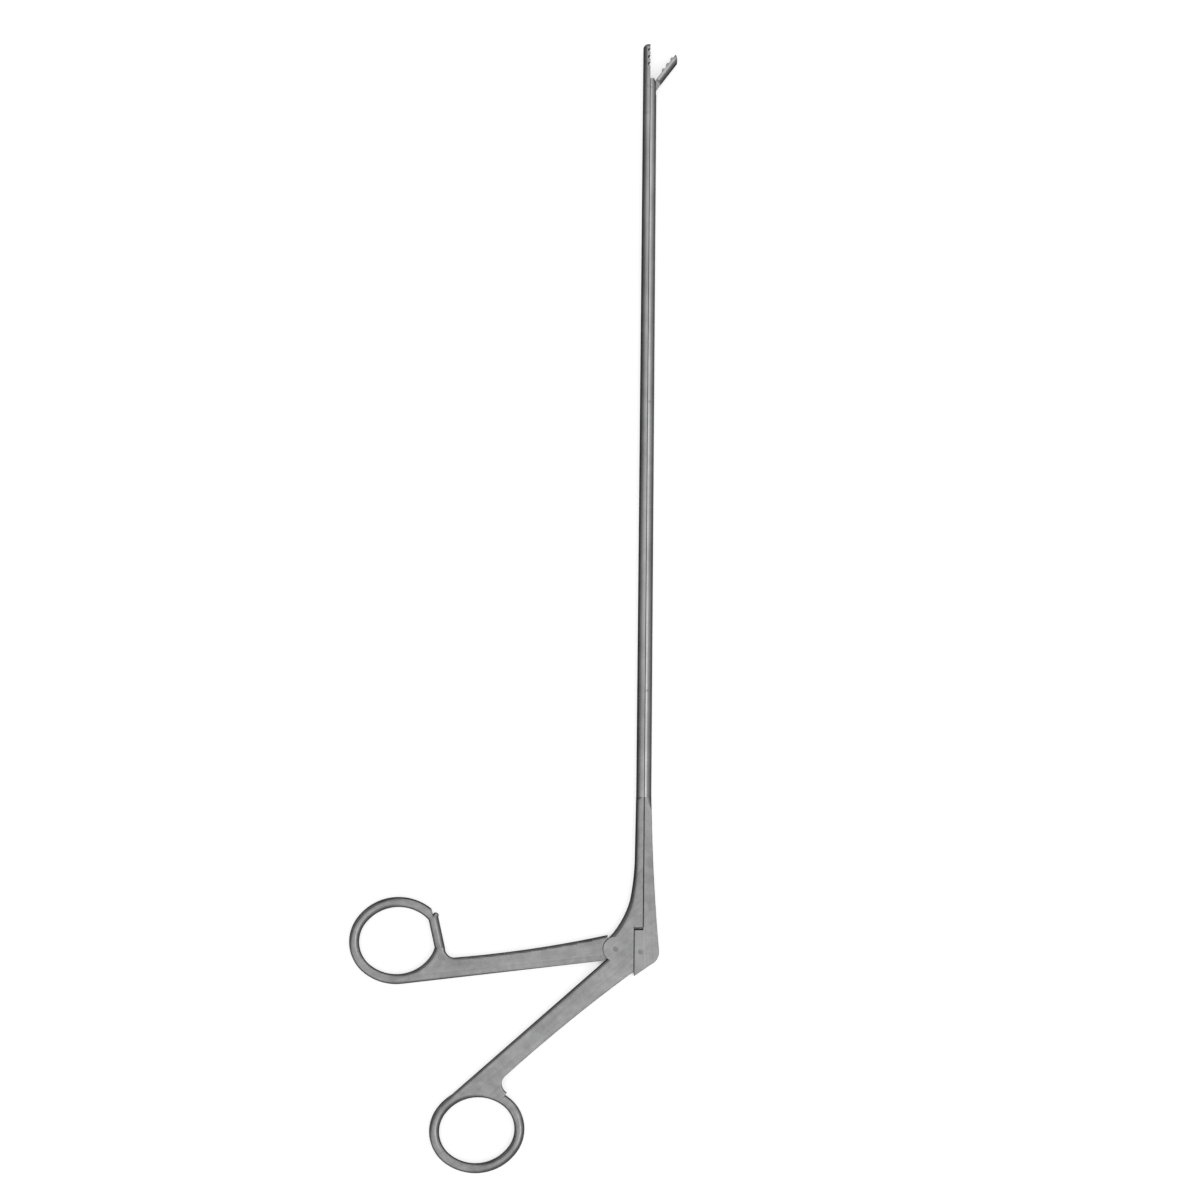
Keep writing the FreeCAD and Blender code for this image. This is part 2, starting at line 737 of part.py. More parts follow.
def drive_tongue():
    low = middle - tongue_thickness / 2
    high = middle + tongue_thickness / 2
    web = outline((0, tongue_root_radius), [
        (0, -tongue_root_radius), (drive_arm, -drive_drop - tongue_tip_radius),
        (drive_arm, -drive_drop + tongue_tip_radius)])
    body = block(-tongue_length, 0, -tongue_let_in, tongue_let_in, low, high)
    body = body.fuse([plate(web, low, high), disc(0, 0, tongue_root_radius, low, high),
                      disc(drive_arm, -drive_drop, tongue_tip_radius, low, high)])
    body = body.cut(disc(0, 0, main_pin_diameter / 2 + pin_gap, low, high))
    slot = slot_hole(drive_x(), -drive_drop, drive_pin_diameter / 2 + pin_gap, drive_sweep / 2 + pin_gap,
                     0, low, high)
    return body.cut(slot)


# The main pivot pin sits in a blind hole, so that the underside of the lock is whole.
def main_pin():
    return disc(0, 0, main_pin_diameter / 2, main_pin_floor, lock_thickness)


def drive_pin():
    return disc(drive_x(), -drive_drop, drive_pin_diameter / 2, 0, lock_thickness)


nodes = {
    "fixed_half_shaft": fixed_half_shaft,
    "sliding_half_shaft": sliding_half_shaft,
    "lock_body_with_rear_handle": lock_with_rear_handle,
    "slide_foot": slide_foot,
    "front_handle": front_handle,
    "moving_jaw": moving_jaw,
    "main_pivot_pin": main_pin,
    "drive_pin": drive_pin,
    "jaw_pivot_pin": lambda: flush_pin(jaw_pivot_x, jaw_pivot_y, jaw_pin_diameter),
    "jaw_link_pin": lambda: flush_pin(link_x, jaw_pivot_y - stroke / 2, link_pin_diameter),
}
for guide in guide_heights:
    nodes[guide + "_guide_key"] = lambda name=guide: guide_key(name)
    nodes[guide + "_guide_rivet"] = lambda name=guide: flush_pin(guide_rivet_x(name), guide_heights[name],
                                                               rivet_diameter)

os.makedirs("parts", exist_ok=True)
for name, make in nodes.items():
    shape = make()
    shape.exportStep("parts/" + name + ".step")
    box = shape.BoundBox
    print(name, len(shape.Solids), round(shape.Volume, 2), shape.isValid(),
          [round(v, 2) for v in (box.XMin, box.XMax, box.YMin, box.YMax, box.ZMin, box.ZMax)])
print("handle swing", round(math.radians(handle_swing), 5))
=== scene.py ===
import bpy
import math
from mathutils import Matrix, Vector


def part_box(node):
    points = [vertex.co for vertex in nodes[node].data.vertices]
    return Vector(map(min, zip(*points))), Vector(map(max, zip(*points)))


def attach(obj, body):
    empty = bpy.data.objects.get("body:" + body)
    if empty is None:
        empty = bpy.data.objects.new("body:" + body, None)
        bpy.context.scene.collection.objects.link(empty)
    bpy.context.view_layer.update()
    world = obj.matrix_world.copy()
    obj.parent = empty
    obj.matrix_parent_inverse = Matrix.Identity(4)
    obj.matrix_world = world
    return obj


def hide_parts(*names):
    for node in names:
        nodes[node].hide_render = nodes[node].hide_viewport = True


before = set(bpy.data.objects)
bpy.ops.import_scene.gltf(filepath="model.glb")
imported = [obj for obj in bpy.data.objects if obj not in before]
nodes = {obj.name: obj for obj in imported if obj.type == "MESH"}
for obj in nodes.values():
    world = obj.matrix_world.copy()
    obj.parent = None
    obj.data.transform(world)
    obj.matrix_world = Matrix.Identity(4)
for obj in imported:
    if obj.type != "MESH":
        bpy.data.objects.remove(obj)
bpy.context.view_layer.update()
bpy.ops.object.select_all(action="DESELECT")
print("frame loaded with", len(nodes), "pieces")


# Small helpers for node trees.
def addNode(tree, kind, settings=None, sockets=None):
    node = tree.nodes.new(kind)
    for key, value in (settings or {}).items():
        setattr(node, key, value)
    for key, value in (sockets or {}).items():
        node.inputs[key].default_value = value
    return node


def join(tree, source, output, target, entry):
    tree.links.new(source.outputs[output], target.inputs[entry])


def newGroup(name, inputs, outputs):
    tree = bpy.data.node_groups.new(name, "ShaderNodeTree")
    for socketName, kind, value in inputs:
        socket = tree.interface.new_socket(name=socketName, in_out="INPUT", socket_type=kind)
        if value is not None:
            socket.default_value = value
    for socketName, kind in outputs:
        tree.interface.new_socket(name=socketName, in_out="OUTPUT", socket_type=kind)
    return tree, tree.nodes.new("NodeGroupInput"), tree.nodes.new("NodeGroupOutput")


def mathNode(tree, operation, first, second=None):
    node = tree.nodes.new("ShaderNodeMath")
    node.operation = operation
    for index, value in enumerate((first, second)):
        if value is None:
            continue
        if isinstance(value, (int, float)):
            node.inputs[index].default_value = value
        else:
            tree.links.new(value, node.inputs[index])
    return node.outputs[0]


def remap(tree, value, low, high, newLow, newHigh):
    node = addNode(tree, "ShaderNodeMapRange", sockets={1: low, 2: high, 3: newLow, 4: newHigh})
    tree.links.new(value, node.inputs[0])
    return node.outputs[0]


# Effects that several steels share.
def buildGrain():
    # long fine lines left by the finishing belt, along the Y of the vector that comes in
    tree, enter, leave = newGroup("beltGrain", [
        ("Vector", "NodeSocketVector", None),
        ("Line Width", "NodeSocketFloat", 0.00012),
        ("Line Length", "NodeSocketFloat", 0.012)],
        [("Height", "NodeSocketFloat"), ("Streak", "NodeSocketFloat")])
    across = mathNode(tree, "DIVIDE", 1.0, enter.outputs["Line Width"])
    along = mathNode(tree, "DIVIDE", 1.0, enter.outputs["Line Length"])
    stretch = addNode(tree, "ShaderNodeCombineXYZ")
    tree.links.new(across, stretch.inputs[0])
    tree.links.new(along, stretch.inputs[1])
    tree.links.new(across, stretch.inputs[2])
    scaled = addNode(tree, "ShaderNodeVectorMath", {"operation": "MULTIPLY"})
    join(tree, enter, "Vector", scaled, 0)
    join(tree, stretch, 0, scaled, 1)
    fine = addNode(tree, "ShaderNodeTexNoise", sockets={"Scale": 1.0, "Detail": 3.0, "Roughness": 0.6})
    join(tree, scaled, 0, fine, "Vector")
    wide = addNode(tree, "ShaderNodeTexNoise", sockets={"Scale": 0.16, "Detail": 2.0, "Roughness": 0.5})
    join(tree, scaled, 0, wide, "Vector")
    tree.links.new(fine.outputs[0], leave.inputs["Height"])
    tree.links.new(remap(tree, wide.outputs[0], 0.3, 0.7, 0.0, 1.0), leave.inputs["Streak"])
    return tree


def buildClouds():
    # the uneven satin of a hand-finished surface: soft blotches and small specks
    specksPerBlotch = 9.0
    tree, enter, leave = newGroup("satinClouds", [
        ("Vector", "NodeSocketVector", None),
        ("Blotch Size", "NodeSocketFloat", 0.006)],
        [("Cloud", "NodeSocketFloat"), ("Speck", "NodeSocketFloat")])
    scale = mathNode(tree, "DIVIDE", 1.0, enter.outputs["Blotch Size"])
    blotch = addNode(tree, "ShaderNodeTexNoise",
                     sockets={"Detail": 4.0, "Roughness": 0.55, "Distortion": 0.4})
    join(tree, enter, "Vector", blotch, "Vector")
    tree.links.new(scale, blotch.inputs["Scale"])
    speck = addNode(tree, "ShaderNodeTexNoise", sockets={"Detail": 2.0, "Roughness": 0.7})
    join(tree, enter, "Vector", speck, "Vector")
    tree.links.new(mathNode(tree, "MULTIPLY", scale, specksPerBlotch), speck.inputs["Scale"])
    tree.links.new(remap(tree, blotch.outputs[0], 0.32, 0.68, 0.0, 1.0), leave.inputs["Cloud"])
    tree.links.new(remap(tree, speck.outputs[0], 0.35, 0.65, 0.0, 1.0), leave.inputs["Speck"])
    return tree


def buildScratches():
    # a few hairline scratches from handling
    tree, enter, leave = newGroup("hairScratches", [
        ("Vector", "NodeSocketVector", None),
        ("Spacing", "NodeSocketFloat", 0.004),
        ("Hair", "NodeSocketFloat", 0.012)],
        [("Scratch", "NodeSocketFloat")])
    total = None
    for turn, shift in ((0.35, 0.0), (-0.9, 3.7), (1.7, 8.1)):
        place = addNode(tree, "ShaderNodeMapping", sockets={
            "Rotation": (0.0, 0.0, turn), "Location": (shift, shift, 0.0), "Scale": (1.0, 0.09, 1.0)})
        join(tree, enter, "Vector", place, "Vector")
        cells = addNode(tree, "ShaderNodeTexVoronoi", {"feature": "DISTANCE_TO_EDGE"})
        join(tree, place, 0, cells, "Vector")
        tree.links.new(mathNode(tree, "DIVIDE", 1.0, enter.outputs["Spacing"]), cells.inputs["Scale"])
        line = mathNode(tree, "LESS_THAN", cells.outputs["Distance"], enter.outputs["Hair"])
        patch = addNode(tree, "ShaderNodeTexNoise", sockets={"Scale": 90.0, "Detail": 1.0})
        join(tree, place, 0, patch, "Vector")
        line = mathNode(tree, "MULTIPLY", line, remap(tree, patch.outputs[0], 0.5, 0.65, 0.0, 1.0))
        total = line if total is None else mathNode(tree, "MAXIMUM", total, line)
    tree.links.new(total, leave.inputs["Scratch"])
    return tree


# edges are painted lighter, partly for wear and partly as a painted highlight; seams are painted darker, partly
# for dirt and partly as painted shade from ambient occlusion
def buildEdges():
    # worn edges catch the light, and seams hold a little dirt
    tree, enter, leave = newGroup("edgesAndSeams", [
        ("Edge Radius", "NodeSocketFloat", 0.00025),
        ("Seam Reach", "NodeSocketFloat", 0.0008)],
        [("WornAndHighlit", "NodeSocketFloat"), ("DirtAndShade", "NodeSocketFloat"), ("Normal", "NodeSocketVector")])
    soft = addNode(tree, "ShaderNodeBevel", {"samples": 6})
    join(tree, enter, "Edge Radius", soft, "Radius")
    plain = addNode(tree, "ShaderNodeNewGeometry")
    dot = addNode(tree, "ShaderNodeVectorMath", {"operation": "DOT_PRODUCT"})
    join(tree, soft, 0, dot, 0)
    join(tree, plain, "Normal", dot, 1)
    tree.links.new(remap(tree, dot.outputs["Value"], 0.99, 0.8, 0.0, 1.0), leave.inputs["WornAndHighlit"])
    tree.links.new(soft.outputs[0], leave.inputs["Normal"])
    # ambient occlusion darkens seams and creases: part dirt, part painted shade
    shade = addNode(tree, "ShaderNodeAmbientOcclusion", {"samples": 6, "only_local": False})
    join(tree, enter, "Seam Reach", shade, "Distance")
    tree.links.new(remap(tree, shade.outputs["AO"], 0.75, 0.2, 0.0, 1.0), leave.inputs["DirtAndShade"])
    return tree


effects = {
    "grain": buildGrain(),
    "clouds": buildClouds(),
    "scratches": buildScratches(),
    "edges": buildEdges(),
}
print("shared effects built:", len(effects))


# How much each effect adds to the tone, the roughness and the height of the steel.
share = {
    "toneCloud": 0.4, "toneStreak": 0.2, "toneBroad": 0.4,
    "roughSpeck": 0.06, "roughStreak": 0.05, "roughWorn": -0.08, "roughScratch": 0.03,
    "scratchDepth": -0.05,
}


def addShares(tree, total, parts):
    for value, weight in parts:
        total = mathNode(tree, "ADD", total, mathNode(tree, "MULTIPLY", value, weight))
    return total


def layOver(tree, base, colour, amount):
    # a colour laid over another one by the given amount
    mix = addNode(tree, "ShaderNodeMix", {"data_type": "RGBA", "blend_type": "MIX"})
    mix.inputs["B"].default_value = colour + (1.0,)
    tree.links.new(amount, mix.inputs["Factor"])
    tree.links.new(base, mix.inputs["A"])
    return mix.outputs["Result"]


# Satin steel, one for each direction that a piece was finished in.
def makeSteel(name, look):
    material = bpy.data.materials.new(name)
    material.use_nodes = True
    tree = material.node_tree
    shader = tree.nodes["Principled BSDF"]
    shader.inputs["Metallic"].default_value = 1.0
    place = addNode(tree, "ShaderNodeTexCoord")
    turned = addNode(tree, "ShaderNodeMapping", sockets={
        "Rotation": (0.0, 0.0, -math.radians(look["grainTurn"])), "Location": look["shift"]})
    join(tree, place, "Object", turned, "Vector")

    def effect(key, sockets):
        group = addNode(tree, "ShaderNodeGroup", {"node_tree": effects[key]}, sockets)
        if "Vector" in group.inputs:
            join(tree, turned, 0, group, "Vector")
        return group.outputs

    grain = effect("grain", {"Line Width": look["lineWidth"], "Line Length": look["lineLength"]})
    clouds = effect("clouds", {"Blotch Size": look["blotch"]})
    broad = effect("clouds", {"Blotch Size": look["broad"]})
    scratches = effect("scratches", {"Spacing": look["scratchSpacing"], "Hair": look["hair"]})
    edges = effect("edges", {"Edge Radius": look["edgeRadius"], "Seam Reach": look["seamReach"]})
    tone = addShares(tree, 0.0, [
        (clouds["Cloud"], share["toneCloud"]),
        (grain["Streak"], share["toneStreak"]),
        (broad["Cloud"], share["toneBroad"])])
    ramp = addNode(tree, "ShaderNodeValToRGB")
    ramp.color_ramp.elements[0].color = look["dark"] + (1.0,)
    ramp.color_ramp.elements[1].color = look["light"] + (1.0,)
    tree.links.new(tone, ramp.inputs[0])
    # edges painted lighter: part wear, part painted highlight
    wornAndHighlit = mathNode(tree, "MULTIPLY", edges["WornAndHighlit"], look["wearAndHighlight"])
    colour = layOver(tree, ramp.outputs[0], look["wornAndHighlitColour"], wornAndHighlit)
    # seams and creases painted darker: part dirt, part painted shade
    dirtAndShade = mathNode(tree, "MULTIPLY", edges["DirtAndShade"], look["dirtAndShade"])
    colour = layOver(tree, colour, look["dirtAndShadeColour"], dirtAndShade)
    # painted shade: near the jaws the hollows between the teeth and round the hinge are painted near black
    split = addNode(tree, "ShaderNodeSeparateXYZ")
    join(tree, place, "Object", split, 0)
    depth = mathNode(tree, "ABSOLUTE", mathNode(tree, "SUBTRACT", split.outputs["Z"], hollowShade["middleZ"]))
    deep = remap(tree, depth, hollowShade["shallow"], hollowShade["deep"], 0.0, look["recessShade"])
    atJaws = remap(tree, split.outputs["Y"], hollowShade["from"], hollowShade["to"], 0.0, 1.0)
    inside = remap(tree, split.outputs["X"], hollowShade["left"], hollowShade["right"], 0.0, 1.0)
    atJaws = mathNode(tree, "MULTIPLY", atJaws, inside)
    colour = layOver(tree, colour, hollowShade["colour"], mathNode(tree, "MULTIPLY", deep, atJaws))
    tree.links.new(colour, shader.inputs["Base Color"])
    rough = addShares(tree, look["roughness"], [
        (clouds["Speck"], share["roughSpeck"]),
        (grain["Streak"], share["roughStreak"]),
        (edges["WornAndHighlit"], share["roughWorn"]),
        (scratches["Scratch"], share["roughScratch"])])
    tree.links.new(rough, shader.inputs["Roughness"])
    height = addShares(tree, 0.0, [
        (grain["Height"], look["grainDepth"]),
        (clouds["Speck"], look["speckDepth"]),
        (scratches["Scratch"], share["scratchDepth"])])
    bump = addNode(tree, "ShaderNodeBump", sockets={"Strength": look["bump"], "Distance": look["bumpDistance"]})
    tree.links.new(height, bump.inputs["Height"])
    tree.links.new(edges["Normal"], bump.inputs["Normal"])
    join(tree, bump, 0, shader, "Normal")
    return material


satin = {
    "grainTurn": 0.0, "shift": (0.0, 0.0, 0.0), "lineWidth": 0.00012, "lineLength": 0.010,
    "blotch": 0.0035, "broad": 0.030, "scratchSpacing": 0.012, "hair": 0.01,
    "edgeRadius": 0.00022, "seamReach": 0.0009,
    "dark": (0.20, 0.20, 0.204), "light": (0.40, 0.40, 0.405),
    # wornAndHighlitColour and wear: the lighter edge colour, part wear and part painted highlight
    "wornAndHighlitColour": (0.42, 0.42, 0.42), "wearAndHighlight": 0.35,
    # dirtAndShadeColour and dirt: the darker seam colour, part dirt and part painted shade
    "dirtAndShadeColour": (0.06, 0.058, 0.055), "dirtAndShade": 0.85,
    "roughness": 0.26, "grainDepth": 0.5, "speckDepth": 0.5,
    "bump": 0.2, "bumpDistance": 0.00002, "recessShade": 0.0,
}
# the half shafts have a finer finish, and their edges lie too close together to be softened much
rodSatin = dict(satin, lineLength=0.030, blotch=0.010, roughness=0.27, bump=0.05, wearAndHighlight=0.05,
                edgeRadius=0.00003, recessShade=0.9)
looks = {
    "frontHandleSteel": dict(satin, grainTurn=96.5),
    "lockSteel": dict(satin, grainTurn=131.5, shift=(0.3, 0.1, 0.0)),
    "footSteel": dict(satin, grainTurn=3.0, shift=(0.7, 0.2, 0.0)),
    "shaftSteel": dict(rodSatin, dark=(0.25, 0.25, 0.254), light=(0.46, 0.46, 0.465), shift=(0.1, 0.5, 0.0)),
    "slideSteel": dict(rodSatin, dark=(0.31, 0.31, 0.314), light=(0.52, 0.52, 0.525), shift=(0.4, 0.9, 0.0)),
    "jawSteel": dict(satin, grainTurn=-37.5, dark=(0.24, 0.24, 0.244), light=(0.38, 0.38, 0.385),
                     wearAndHighlight=0.15, recessShade=0.9, shift=(0.2, 0.3, 0.0)),
    "pinSteel": dict(satin, dark=(0.20, 0.20, 0.205), light=(0.27, 0.27, 0.275), blotch=0.0015,
                     shift=(0.5, 0.5, 0.5)),
    "rivetSteel": dict(satin, dark=(0.28, 0.28, 0.284), light=(0.42, 0.42, 0.425), blotch=0.0015,
                       shift=(0.9, 0.2, 0.5)),
    "keySteel": dict(satin, blotch=0.003),
}
# painted shade for the hollows at the jaws: where it lies and how dark it is
hollowShade = {
    "middleZ": 0.003, "shallow": 0.0016, "deep": 0.0009, "from": 0.344, "to": 0.345,
    "left": 0.0092, "right": 0.0097, "colour": (0.012, 0.012, 0.013),
}
steels = {name: makeSteel(name, look) for name, look in looks.items()}


# Shaping with cutters, planes and edit mode.
# A vertex nearer to a cutting plane than onPlane counts as lying on it.
onPlane = 1e-7
holeFacets = 48


def takeAlone(piece):
    bpy.ops.object.select_all(action="DESELECT")
    bpy.context.view_layer.objects.active = piece
    piece.select_set(True)


def boxFrom(low, high):
    low, high = Vector(low), Vector(high)
    bpy.ops.object.select_all(action="DESELECT")
    bpy.ops.mesh.primitive_cube_add(size=1.0, location=(low + high) / 2)
    made = bpy.context.active_object
    made.scale = high - low
    bpy.ops.object.transform_apply(location=True, rotation=True, scale=True)
    return made


def rodUp(x, y, z, radius, height):
    bpy.ops.object.select_all(action="DESELECT")
    bpy.ops.mesh.primitive_cylinder_add(vertices=holeFacets, radius=radius, depth=height, location=(x, y, z))
    bpy.ops.object.transform_apply(location=True, rotation=True, scale=True)
    return bpy.context.active_object


def carve(piece, cutters):
    for cutter in cutters:
        takeAlone(piece)
        step = piece.modifiers.new("carve", "BOOLEAN")
        step.operation = "DIFFERENCE"
        step.solver = "EXACT"
        step.object = cutter
        bpy.ops.object.modifier_apply(modifier=step.name)
        bpy.data.objects.remove(cutter)


def cutPlane(piece, point, normal):
    takeAlone(piece)
    bpy.ops.object.mode_set(mode="EDIT")
    bpy.ops.mesh.select_all(action="SELECT")
    bpy.ops.mesh.bisect(plane_co=point, plane_no=normal, use_fill=True, clear_outer=True, threshold=onPlane)
    bpy.ops.object.mode_set(mode="OBJECT")


def ringCuts(piece, heights):
    # more rings of edges round a rod, so that a hole's shading stays beside the hole
    takeAlone(piece)
    for height in heights:
        bpy.ops.object.mode_set(mode="EDIT")
        bpy.ops.mesh.select_all(action="SELECT")
        bpy.ops.mesh.bisect(plane_co=(0.0, height, 0.0), plane_no=(0.0, 1.0, 0.0), threshold=onPlane)
        bpy.ops.object.mode_set(mode="OBJECT")


def ringsBeside(pins):
    heights = []
    for pin in pins:
        low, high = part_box(pin)
        heights += [low.y - shaft["ringRoom"], high.y + shaft["ringRoom"]]
    return heights


def smoothOver(piece, degrees):
    takeAlone(piece)
    bpy.ops.object.shade_smooth_by_angle(angle=math.radians(degrees))
    piece.select_set(False)


# The two halves of the round shaft.
shaft = {
    "axisX": 0.0106, "middleZ": 0.003, "root": 0.060, "reach": 0.3573,
    "rootRadius": 0.003, "tipRadius": 0.002625, "facets": 176, "smoothAngle": 28.0,
    "splitX": 0.0108, "halfGap": 0.00004, "seamRound": 0.00024, "seamTilts": (22.5, 45.0, 67.5),
    "slideEnd": 0.34373, "endInner": 0.0123, "endOuter": 0.013625, "endDrop": 0.0029,
    "pivot": (0.0099, 0.3406), "slotHalf": 0.00091, "heel": 0.00137,
    "slotBelow": 0.0025, "slotAbove": 0.00275, "forkBelow": 0.00325,
    "holeGap": 0.00002, "holeLength": 0.02, "ringRoom": 0.0002,
    "keyGap": 0.00006, "travel": 0.00105, "beyond": 0.001, "farBeyond": 0.02,
}
nose = {
    "left": 0.007715, "flatStart": 0.01025, "length": 0.0028, "spoonRound": 0.0022,
    "facets": 64, "rollerHeight": 0.03, "rollerLength": 0.06, "rollerX": 0.01,
    "below": -0.01, "above": 0.02, "aside": 0.01, "ringDrops": (0.0095, 0.0028),
}
teeth = {
    "first": 0.0024, "pitch": 0.00275, "count": 3, "depth": 0.0009, "width": 0.0015, "crest": 0.6,
    "web": 0.000575, "outside": 0.004,
    "troughHalf": 0.000725, "troughDepth": 0.00035, "troughEnd": 0.0017, "troughLength": 0.0096,
}


def roundRod(name):
    length = shaft["reach"] - shaft["root"]
    bpy.ops.object.select_all(action="DESELECT")
    bpy.ops.mesh.primitive_cone_add(
        vertices=shaft["facets"], radius1=shaft["rootRadius"], radius2=shaft["tipRadius"], depth=length,
        location=(shaft["axisX"], shaft["root"] + length / 2, shaft["middleZ"]),
        rotation=(-math.pi / 2, 0.0, 0.0))
    rod = bpy.context.active_object
    rod.name = name
    bpy.ops.object.transform_apply(location=True, rotation=True, scale=True)
    return rod


def breakSeam(rod, seamX, side):
    # the long edges on both sides of the seam are rounded by a few narrow flats
    size = shaft["seamRound"]
    taper = (shaft["tipRadius"] - shaft["rootRadius"]) / (shaft["reach"] - shaft["root"])
    for way in (-1, 1):
        for degrees in shaft["seamTilts"]:
            flat, steep = math.cos(math.radians(degrees)), math.sin(math.radians(degrees))
            point = (seamX - side * size * (1 - flat), shaft["root"],
                     shaft["middleZ"] + way * (shaft["rootRadius"] - size * (1 - steep)))
            cutPlane(rod, point, (side * flat, -taper * steep, way * steep))


def guideRoom(key, gap, travel):
    # the room that a guide key needs in the half that it slides in
    low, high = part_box(key)
    return boxFrom((low.x - gap, low.y - gap + min(travel, 0.0), low.z - gap),
                   (high.x + gap, high.y + gap + max(travel, 0.0), high.z + gap))


def pinHole(pin):
    low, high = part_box(pin)
    middle = (low + high) / 2
    radius = (high.y - low.y) / 2 + shaft["holeGap"]
    return rodUp(middle.x, middle.y, middle.z, radius, shaft["holeLength"])


def notches(face):
    cutters = []
    bottom, half = face - teeth["depth"], teeth["width"] / 2
    for row in range(teeth["count"]):
        y = shaft["reach"] - teeth["first"] - row * teeth["pitch"]
        for side in (-1, 1):
            inner = shaft["middleZ"] + side * teeth["web"]
            outer = shaft["middleZ"] + side * teeth["outside"]
            notch = boxFrom((bottom, y - half, min(inner, outer)),
                            (face + shaft["beyond"], y + half, max(inner, outer)))
            for corner in notch.data.vertices:
                if corner.co.x < face - teeth["depth"] / 2:
                    corner.co.y = y + (corner.co.y - y) * teeth["crest"]
            cutters.append(notch)
    return cutters


def cornerCutter(low, high, roller):
    # a block less a roller: what it cuts away leaves a rounded corner
    block = boxFrom(low, high)
    carve(block, [roller])
    return block


def roundNose(rod):
    # a curve on the left seen from above, and a spoon's end seen from the side
    top, z = shaft["reach"], shaft["middleZ"]
    past = top + shaft["beyond"]
    width, length = nose["flatStart"] - nose["left"], nose["length"]
    roller = rodUp(nose["flatStart"], top - length, z, length, nose["rollerHeight"])
    # the first roller is squeezed sideways, so that its edge meets the left side of the rod
    roller.location.x = nose["flatStart"] * (1 - width / length)
    roller.scale.x = width / length
    takeAlone(roller)
    bpy.ops.object.transform_apply(location=True, rotation=True, scale=True)
    cutters = [cornerCutter((0.0, top - length, nose["below"]),
                            (nose["flatStart"], past, nose["above"]), roller)]
    size = nose["spoonRound"]
    for side in (-1, 1):
        middle = z + side * (shaft["tipRadius"] - size)
        outer = z + side * nose["aside"]
        bpy.ops.object.select_all(action="DESELECT")
        bpy.ops.mesh.primitive_cylinder_add(
            vertices=nose["facets"], radius=size, depth=nose["rollerLength"],
            location=(nose["rollerX"], top - size, middle), rotation=(0.0, math.pi / 2, 0.0))
        roller = bpy.context.active_object
        bpy.ops.object.transform_apply(location=True, rotation=True, scale=True)
        cutters.append(cornerCutter((0.0, top - size, min(middle, outer)),
                                    (shaft["farBeyond"], past, max(middle, outer)), roller))
    carve(rod, cutters)


def makeFixedHalf():
    rod = roundRod("fixedHalfOfShaft")
    face = shaft["splitX"] - shaft["halfGap"]
    past = face + shaft["beyond"]
    cutPlane(rod, (face, 0.0, 0.0), (1.0, 0.0, 0.0))
    breakSeam(rod, face, 1)
    roundNose(rod)
    rings = ringsBeside(["jaw_pivot_pin", "front_guide_rivet"])
    ringCuts(rod, rings + [shaft["reach"] - drop for drop in nose["ringDrops"]])
    px, py = shaft["pivot"]
    middle, half = shaft["middleZ"], shaft["slotHalf"]
    cutters = notches(face)
    top, reach = shaft["reach"] - teeth["troughEnd"], teeth["troughHalf"]
    cutters.append(boxFrom((face - teeth["troughDepth"], top - teeth["troughLength"], middle - reach),
                           (past, top, middle + reach)))
    cutters.append(boxFrom((px - shaft["heel"], py - shaft["slotBelow"], middle - half),
                           (past, py + shaft["slotAbove"], middle + half)))
    cutters += [pinHole("jaw_pivot_pin"), pinHole("front_guide_rivet"), guideRoom("front_guide_key", 0.0, 0.0)]
    for key in ("middle_guide_key", "rear_guide_key"):
        cutters.append(guideRoom(key, shaft["keyGap"], shaft["travel"]))
    carve(rod, cutters)
    smoothOver(rod, shaft["smoothAngle"])
    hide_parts("fixed_half_shaft")
    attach(rod, "fixed")
    return rod


def makeSlidingHalf():
    rod = roundRod("slidingHalfOfShaft")
    face = shaft["splitX"] + shaft["halfGap"]
    cutPlane(rod, (face, 0.0, 0.0), (-1.0, 0.0, 0.0))
    breakSeam(rod, face, -1)
    cutPlane(rod, (0.0, shaft["slideEnd"], 0.0), (0.0, 1.0, 0.0))
    pins = ("jaw_link_pin", "middle_guide_rivet", "rear_guide_rivet")
    ringCuts(rod, ringsBeside(pins))
    slope = Vector((shaft["endDrop"], shaft["endOuter"] - shaft["endInner"], 0.0)).normalized()
    cutPlane(rod, (shaft["endInner"], shaft["slideEnd"], 0.0), slope)
    py = shaft["pivot"][1]
    middle, half = shaft["middleZ"], shaft["slotHalf"]
    far = shaft["farBeyond"]
    cutters = [boxFrom((face - shaft["beyond"], py - shaft["forkBelow"], middle - half),
                       (far, py + far, middle + half))]
    cutters += [pinHole(pin) for pin in pins]
    cutters += [guideRoom(key, 0.0, 0.0) for key in ("middle_guide_key", "rear_guide_key")]
    cutters.append(guideRoom("front_guide_key", shaft["keyGap"], -shaft["travel"]))
    carve(rod, cutters)
    smoothOver(rod, shaft["smoothAngle"])
    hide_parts("sliding_half_shaft")
    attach(rod, "slide")
    return rod


shaftHalves = {"shaftSteel": makeFixedHalf(), "slideSteel": makeSlidingHalf()}
for key, rod in shaftHalves.items():
    rod.data.materials.clear()
    rod.data.materials.append(steels[key])
    print(rod.name, len(rod.data.polygons), "faces")

wearing = {
    "front_handle": "frontHandleSteel",
    "lock_body_with_rear_handle": "lockSteel",
    "slide_foot": "footSteel",
    "moving_jaw": "jawSteel",
    "jaw_pivot_pin": "rivetSteel",
    "jaw_link_pin": "rivetSteel",
    "front_guide_rivet": "rivetSteel",
    "middle_guide_rivet": "rivetSteel",
    "rear_guide_rivet": "rivetSteel",
}
for name, node in nodes.items():
    key = wearing.get(name, "keySteel" if name.endswith("key") else "pinSteel")
    node.data.materials.clear()
    node.data.materials.append(steels[key])
print("steels on", len(nodes), "pieces")


